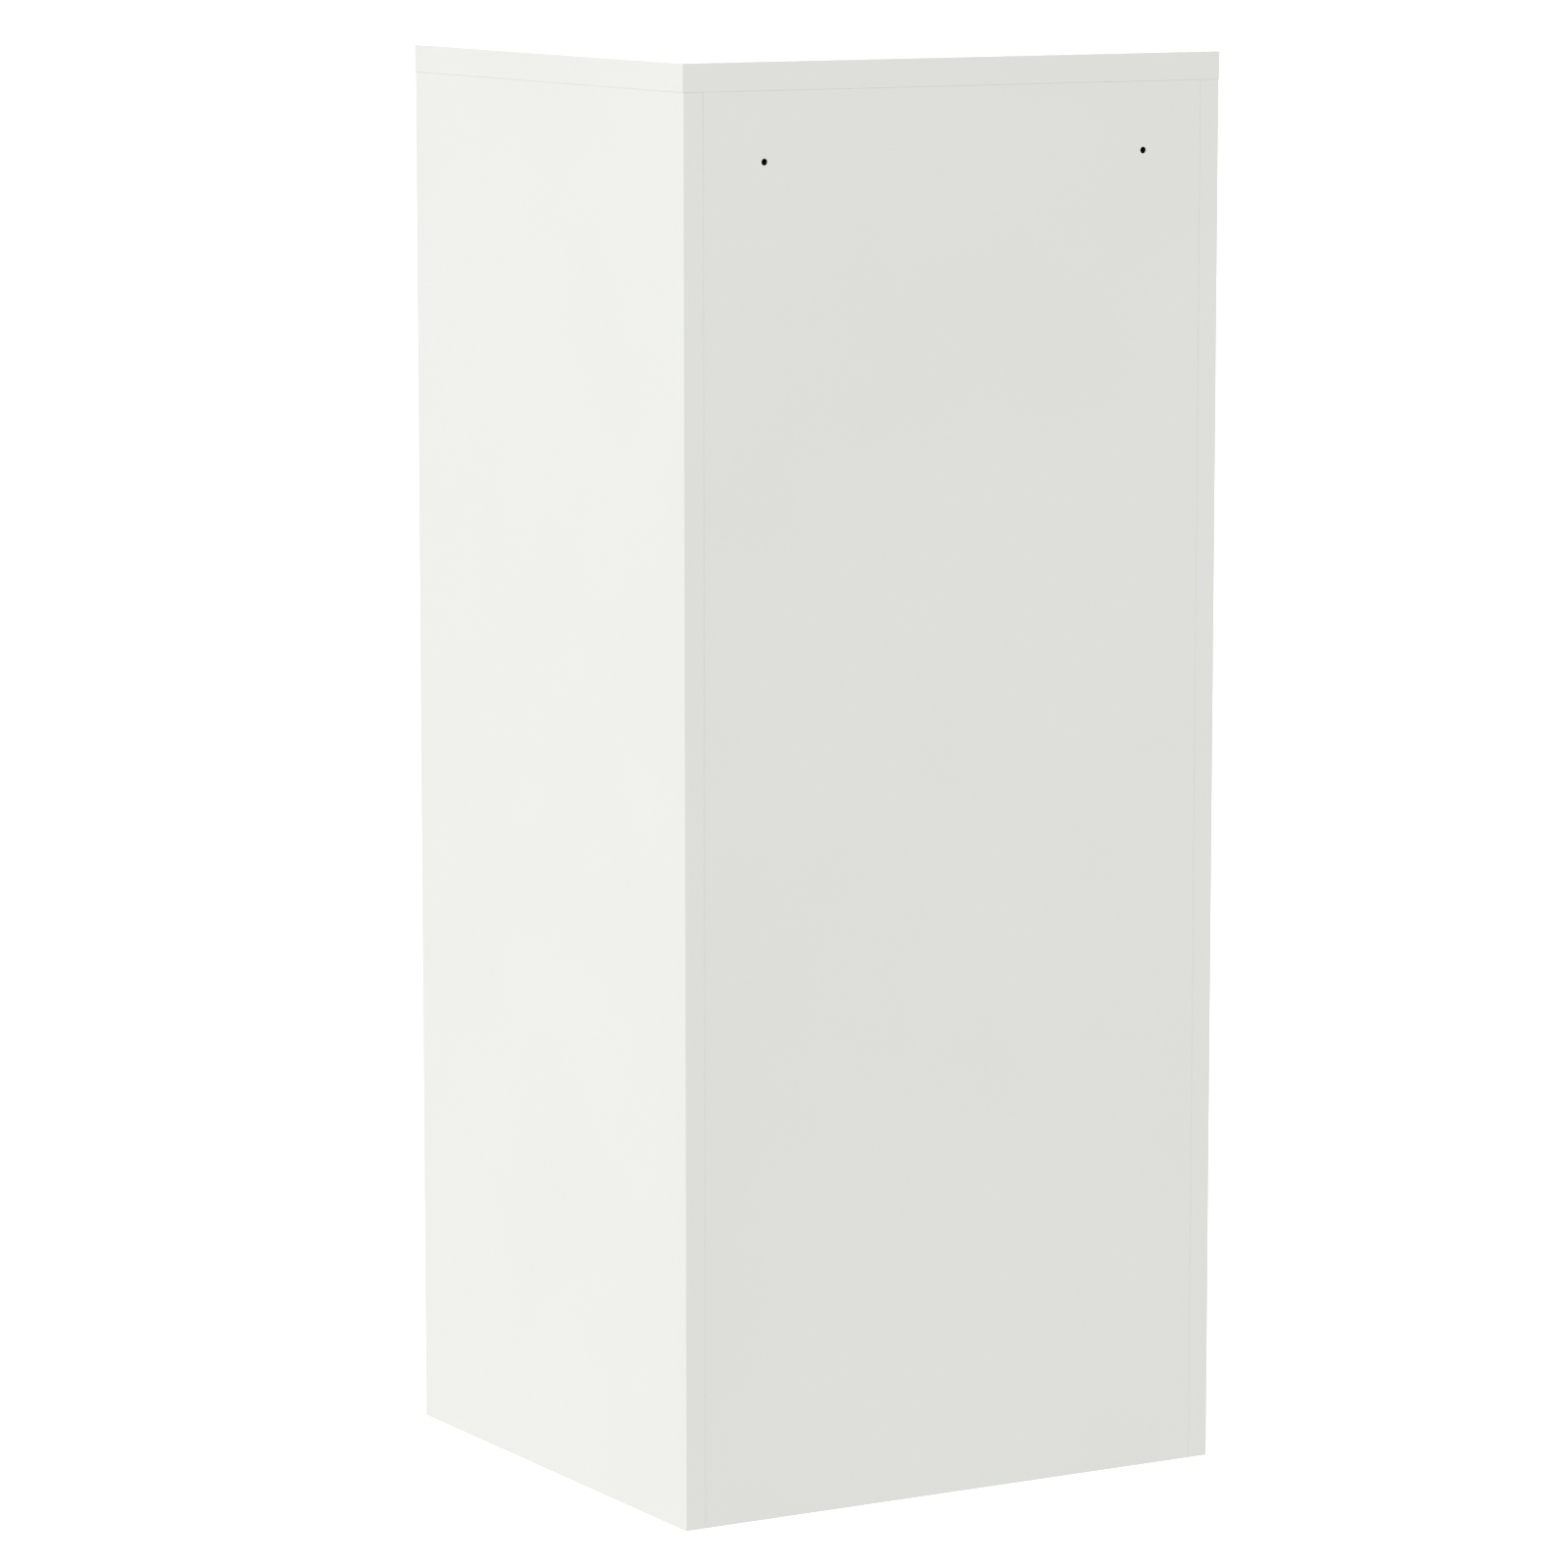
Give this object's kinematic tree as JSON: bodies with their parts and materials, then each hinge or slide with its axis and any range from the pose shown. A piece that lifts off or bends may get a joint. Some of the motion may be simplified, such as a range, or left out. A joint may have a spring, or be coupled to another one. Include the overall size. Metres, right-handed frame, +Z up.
{
  "type": "locker cabinet",
  "caption": "White sheet-steel locker cabinet with stacked lockers behind inset hinged doors, each with a cam lock, key, finger pull and card holder.",
  "frame": {"origin": "middle of the body's footprint on the floor", "axes": "+Z up; the doors face -Y and the back faces +Y; +X is to the right of someone facing the doors"},
  "size_m": [0.385, 0.3748, 0.9],
  "materials": {
    "powder_coat": "satin white polyester powder coat with a fine texture",
    "zinc_plate": "bright zinc plate on steel",
    "nickel_plate": "satin nickel plate",
    "abs_grey": "moulded ABS with a fine spark texture",
    "nylon": "natural moulded nylon",
    "rubber": "moulded black rubber",
    "card": "plain uncoated card",
    "clear_cover": "clear rigid sheet"
  },
  "bodies": {
    "cabinet": {"top_cap": "powder_coat", "side_panel_left": "powder_coat", "side_panel_right": "powder_coat", "back_panel": "powder_coat", "upper_shelf": "powder_coat", "lower_shelf": "powder_coat", "base_pan": "powder_coat", "base_rib": "powder_coat", "hinge_bushes": "nylon", "door_buffers": "rubber", "cap_screws": "zinc_plate"},
    "upper_door": {"upper_door": "powder_coat", "upper_door_rib": "powder_coat", "upper_hinge_pins": "zinc_plate", "upper_handle": "abs_grey", "upper_card_frame": "nickel_plate", "upper_card_cover": "clear_cover", "upper_card": "card", "upper_card_rivets": "nickel_plate", "upper_lock_barrel": "nickel_plate", "upper_lock_nut": "zinc_plate"},
    "upper_lock": {"upper_lock_plug": "nickel_plate", "upper_lock_cam": "zinc_plate", "upper_cam_screw": "zinc_plate"},
    "upper_key": {"upper_key": "nickel_plate"},
    "middle_door": {"middle_door": "powder_coat", "middle_door_rib": "powder_coat", "middle_hinge_pins": "zinc_plate", "middle_handle": "abs_grey", "middle_card_frame": "nickel_plate", "middle_card_cover": "clear_cover", "middle_card": "card", "middle_card_rivets": "nickel_plate", "middle_lock_barrel": "nickel_plate", "middle_lock_nut": "zinc_plate"},
    "middle_lock": {"middle_lock_plug": "nickel_plate", "middle_lock_cam": "zinc_plate", "middle_cam_screw": "zinc_plate"},
    "middle_key": {"middle_key": "nickel_plate"},
    "lower_door": {"lower_door": "powder_coat", "lower_door_rib": "powder_coat", "lower_hinge_pins": "zinc_plate", "lower_handle": "abs_grey", "lower_card_frame": "nickel_plate", "lower_card_cover": "clear_cover", "lower_card": "card", "lower_card_rivets": "nickel_plate", "lower_lock_barrel": "nickel_plate", "lower_lock_nut": "zinc_plate"},
    "lower_lock": {"lower_lock_plug": "nickel_plate", "lower_lock_cam": "zinc_plate", "lower_cam_screw": "zinc_plate"},
    "lower_key": {"lower_key": "nickel_plate"}
  },
  "joints": [
    {"name": "upper_door_hinge", "type": "hinge", "parent": "cabinet", "child": "upper_door", "pos_m": [-0.165, -0.17, 0.7471], "axis": [0, 0, -1], "range_deg": [0, 105]},
    {"name": "upper_lock_turn", "type": "hinge", "parent": "upper_door", "child": "upper_lock", "pos_m": [0.148, -0.175, 0.7471], "axis": [0, -1, 0], "range_deg": [0, 90]},
    {"name": "upper_key_pull", "type": "slide", "parent": "upper_lock", "child": "upper_key", "axis": [0, -1, 0], "range_m": [0, 0.025]},
    {"name": "middle_door_hinge", "type": "hinge", "parent": "cabinet", "child": "middle_door", "pos_m": [-0.165, -0.17, 0.4563], "axis": [0, 0, -1], "range_deg": [0, 105]},
    {"name": "middle_lock_turn", "type": "hinge", "parent": "middle_door", "child": "middle_lock", "pos_m": [0.148, -0.175, 0.4563], "axis": [0, -1, 0], "range_deg": [0, 90]},
    {"name": "middle_key_pull", "type": "slide", "parent": "middle_lock", "child": "middle_key", "axis": [0, -1, 0], "range_m": [0, 0.025]},
    {"name": "lower_door_hinge", "type": "hinge", "parent": "cabinet", "child": "lower_door", "pos_m": [-0.165, -0.17, 0.1655], "axis": [0, 0, -1], "range_deg": [0, 105]},
    {"name": "lower_lock_turn", "type": "hinge", "parent": "lower_door", "child": "lower_lock", "pos_m": [0.148, -0.175, 0.1655], "axis": [0, -1, 0], "range_deg": [0, 90]},
    {"name": "lower_key_pull", "type": "slide", "parent": "lower_lock", "child": "lower_key", "axis": [0, -1, 0], "range_m": [0, 0.025]}
  ]
}
